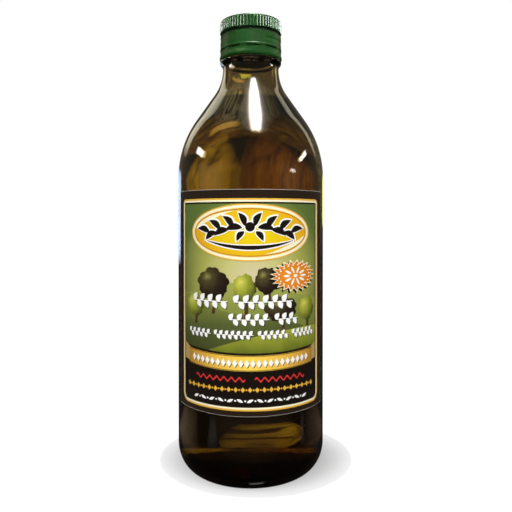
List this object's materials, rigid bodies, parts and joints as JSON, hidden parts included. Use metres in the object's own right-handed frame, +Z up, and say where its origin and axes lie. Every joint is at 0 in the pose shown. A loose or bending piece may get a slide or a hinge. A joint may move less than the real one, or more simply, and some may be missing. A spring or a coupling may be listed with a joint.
{
  "type": "olive oil bottle",
  "caption": "Tall round dark glass bottle of oil with a sloping shoulder, a green rolled-on metal screw cap with its tamper band, and a wrap-round paper front label.",
  "frame": {"origin": "on the bottle's axis in the plane that its foot stands on", "axes": "+Z up along the bottle's axis, -Y towards the middle of the front label"},
  "size_m": [0.086, 0.0862, 0.2635],
  "materials": {
    "glass": "smooth dark olive-brown container glass",
    "oil": "clear golden-green oil, very dark in bulk",
    "cap": "green satin lacquer on rolled aluminium",
    "label": "printed coated paper, black with a green field"
  },
  "bodies": {
    "root": {"bottle_glass": "glass", "olive_oil": "oil", "screw_cap": "cap", "front_label": "label"}
  },
  "joints": []
}
